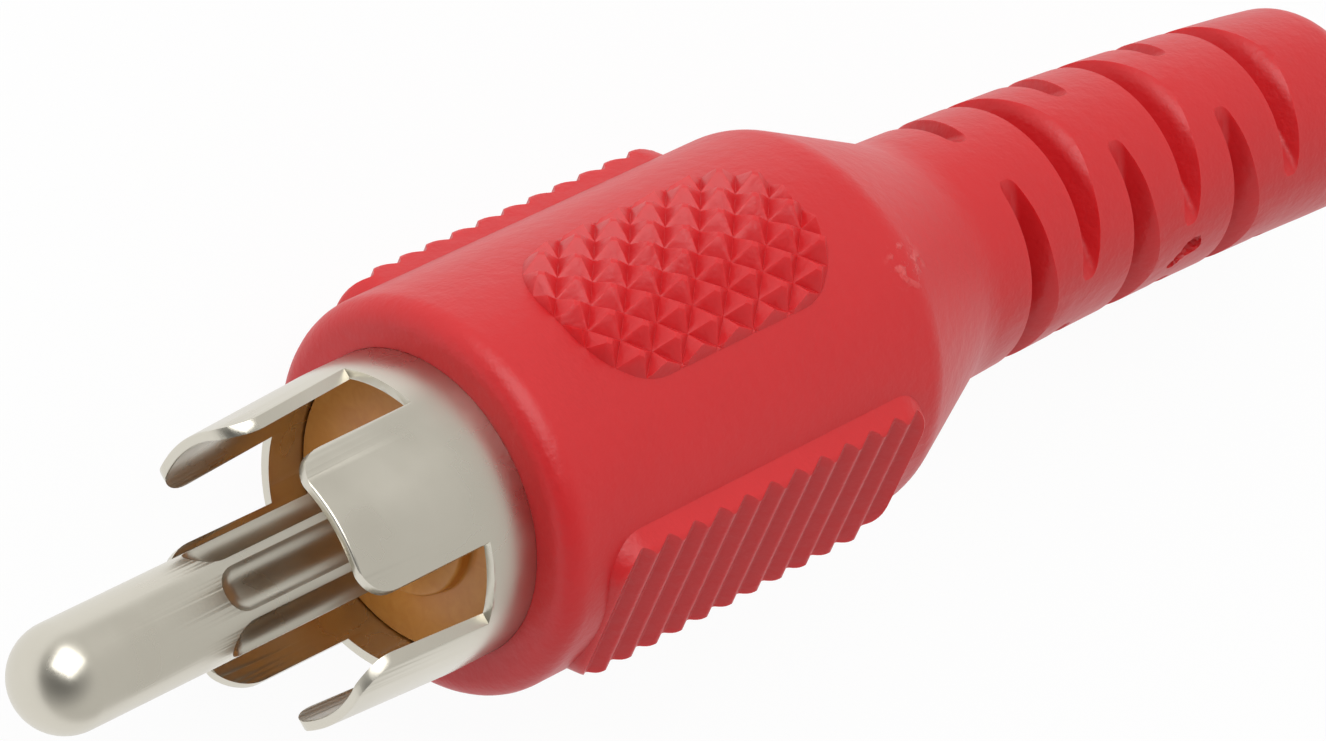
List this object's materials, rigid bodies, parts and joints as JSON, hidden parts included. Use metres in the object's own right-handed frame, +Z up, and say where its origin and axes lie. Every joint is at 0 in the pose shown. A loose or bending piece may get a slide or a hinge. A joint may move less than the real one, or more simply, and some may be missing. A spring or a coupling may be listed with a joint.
{
  "type": "rca audio cable plug",
  "caption": "Moulded audio cable plug with a fluted centre pin, a slotted ground shell, grip pads and a slotted strain relief, shown without its free cable.",
  "frame": {"origin": "centre of the bounding box's base, on the ground that the plug rests on", "axes": "+X along the plug from the pin towards the strain relief, +Z up, +Y completes a right-handed frame"},
  "size_m": [0.0544, 0.0124, 0.0122],
  "materials": {
    "body": "moulded red PVC, semi-matt with a fine grain",
    "contact": "nickel-plated brass, polished",
    "phenolic": "amber-brown phenolic board, smooth",
    "inner_mould": "natural polyethylene, waxy",
    "conductor": "bare copper",
    "dielectric": "white polyethylene",
    "shield": "spiral-laid copper strands",
    "jacket": "black PVC jacket",
    "solder": "tin solder"
  },
  "bodies": {
    "root": {"plug_body": "body", "centre_pin": "contact", "ground_shell": "contact", "insulator": "phenolic", "inner_mould": "inner_mould", "centre_conductor": "conductor", "dielectric": "dielectric", "shield": "shield", "cable_jacket": "jacket", "shield_solder": "solder"}
  },
  "joints": []
}
